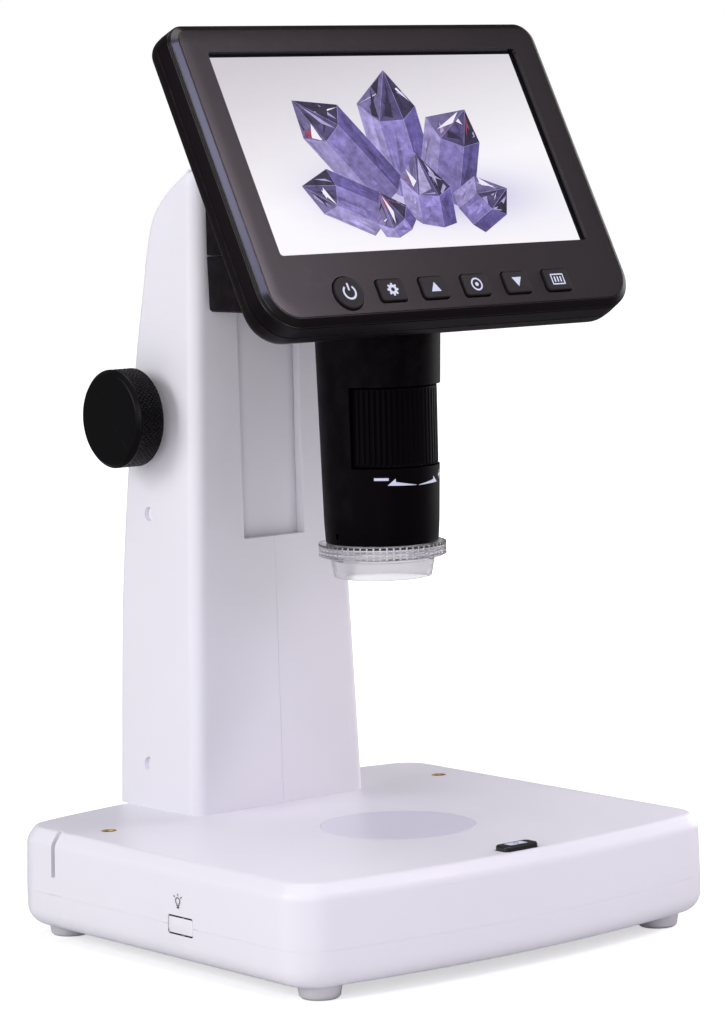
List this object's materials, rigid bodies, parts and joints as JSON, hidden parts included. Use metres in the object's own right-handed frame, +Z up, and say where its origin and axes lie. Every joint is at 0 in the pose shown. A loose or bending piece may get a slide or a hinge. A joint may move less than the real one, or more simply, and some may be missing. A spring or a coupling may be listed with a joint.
{
  "type": "digital microscope with screen",
  "caption": "Desktop digital microscope: weighted base with lit stage, column with focus knobs, lens barrel with magnification wheel and clear hood, and a tilting screen with a row of keys.",
  "frame": {"origin": "on the table under the middle of the base", "axes": "+Z up, +X to the user's right, -Y towards the user; the lens axis is vertical at y = -13 mm"},
  "size_m": [0.1543, 0.15, 0.2618],
  "materials": {
    "white_shell": "satin moulded plastic",
    "white_foot": "soft moulded plastic",
    "black_shell": "fine satin black plastic",
    "black_key": "satin black key plastic",
    "knob_metal": "black anodised, knurled",
    "diffuser": "milky",
    "brass": "turned",
    "steel": "ground",
    "screw_steel": "zinc plated",
    "port_metal": "stamped",
    "board_green": "solder mask",
    "board_white": "white solder mask",
    "led": "clear yellow",
    "inner_plastic": "moulded",
    "lens_glass": "polished",
    "hood_clear": "clear moulded plastic",
    "screen_glass": "lit screen",
    "battery_wrap": "shrink wrap"
  },
  "bodies": {
    "base": {"base_upper_shell": "white_shell", "base_lower_shell": "white_shell", "feet": "white_foot", "base_screws": "screw_steel", "ballast_plate": "steel", "stage_disc": "diffuser", "stage_light_board": "board_white", "clip_sockets": "brass", "base_board": "board_green", "power_jack": "inner_plastic", "light_switches": "inner_plastic", "column_left_shell": "white_shell", "column_right_shell": "white_shell", "column_screws": "screw_steel", "column_plugs": "white_shell", "column_foot_screws": "screw_steel", "guide_rods": "steel", "rod_blocks": "inner_plastic", "shaft_bushings": "brass"},
    "light_button": {"light_button": "black_key"},
    "light_rocker": {"light_rocker": "white_shell"},
    "focus_drive": {"focus_shaft": "steel", "pinion": "brass", "knob_left": "knob_metal", "knob_right": "knob_metal"},
    "head": {"carriage": "inner_plastic", "rack": "steel", "slot_cover": "white_shell", "arm_screws": "screw_steel", "head_lower_housing": "black_shell", "head_upper_housing": "black_shell", "head_screws": "screw_steel", "hinge_pin": "steel", "barrel": "black_shell", "barrel_screws": "screw_steel", "set_screws": "screw_steel", "optics_tube": "inner_plastic", "objective_lens": "lens_glass", "sensor_board": "board_green", "ring_light_board": "board_white", "ring_leds": "led"},
    "zoom_wheel": {"zoom_wheel": "black_shell"},
    "lens_carrier": {"lens_carrier": "inner_plastic", "zoom_lens": "lens_glass"},
    "clear_hood": {"clear_hood": "hood_clear"},
    "screen": {"screen_front_shell": "black_shell", "screen_back_shell": "black_shell", "screen_screws": "screw_steel", "lcd_glass": "screen_glass", "lcd_frame": "port_metal", "key_board": "board_green", "main_board": "board_green", "side_ports": "port_metal", "battery_pack": "battery_wrap"},
    "key_power": {"key_power": "black_key"},
    "key_settings": {"key_settings": "black_key"},
    "key_up": {"key_up": "black_key"},
    "key_confirm": {"key_confirm": "black_key"},
    "key_down": {"key_down": "black_key"},
    "key_mode": {"key_mode": "black_key"}
  },
  "joints": [
    {"name": "focus_slide", "type": "slide", "parent": "base", "child": "head", "axis": [0, 0, 1], "range_m": [-0.05, 0.002]},
    {"name": "focus_turn", "type": "hinge", "parent": "base", "child": "focus_drive", "pos_m": [0, 0.0594, 0.1495], "axis": [1, 0, 0], "range_deg": [-24, 597]},
    {"name": "screen_tilt", "type": "hinge", "parent": "head", "child": "screen", "pos_m": [0, -0.00606, 0.21833], "axis": [1, 0, 0], "range_deg": [-35, 0]},
    {"name": "zoom_turn", "type": "hinge", "parent": "head", "child": "zoom_wheel", "pos_m": [0, -0.0151, 0.1486], "axis": [0, 0, 1], "range_deg": [-150, 150]},
    {"name": "lens_slide", "type": "slide", "parent": "head", "child": "lens_carrier", "axis": [0, 0, 1], "range_m": [-0.0034, 0.0034]},
    {"name": "hood_slide", "type": "slide", "parent": "head", "child": "clear_hood", "axis": [0, 0, 1], "range_m": [-0.02, 0]},
    {"name": "light_button_press", "type": "slide", "parent": "base", "child": "light_button", "axis": [0, 0, 1], "range_m": [-0.0005, 0], "stiffness_N_per_m": 600},
    {"name": "light_rocker_tilt", "type": "hinge", "parent": "base", "child": "light_rocker", "pos_m": [-0.073, -0.0143, 0.015], "axis": [0, 0, 1], "range_deg": [-3, 3], "stiffness_Nm_per_rad": 0.1},
    {"name": "key_power_press", "type": "slide", "parent": "screen", "child": "key_power", "axis": [0, -0.8792, 0.4765], "range_m": [-0.0004, 0], "stiffness_N_per_m": 500},
    {"name": "key_settings_press", "type": "slide", "parent": "screen", "child": "key_settings", "axis": [0, -0.8792, 0.4765], "range_m": [-0.0004, 0], "stiffness_N_per_m": 500},
    {"name": "key_up_press", "type": "slide", "parent": "screen", "child": "key_up", "axis": [0, -0.8792, 0.4765], "range_m": [-0.0004, 0], "stiffness_N_per_m": 500},
    {"name": "key_confirm_press", "type": "slide", "parent": "screen", "child": "key_confirm", "axis": [0, -0.8792, 0.4765], "range_m": [-0.0004, 0], "stiffness_N_per_m": 500},
    {"name": "key_down_press", "type": "slide", "parent": "screen", "child": "key_down", "axis": [0, -0.8792, 0.4765], "range_m": [-0.0004, 0], "stiffness_N_per_m": 500},
    {"name": "key_mode_press", "type": "slide", "parent": "screen", "child": "key_mode", "axis": [0, -0.8792, 0.4765], "range_m": [-0.0004, 0], "stiffness_N_per_m": 500}
  ],
  "couplings": [
    {"joint": "focus_turn", "follows": "focus_slide", "rad_per_m": -208.33},
    {"joint": "zoom_turn", "follows": "lens_slide", "rad_per_m": 769.23}
  ]
}
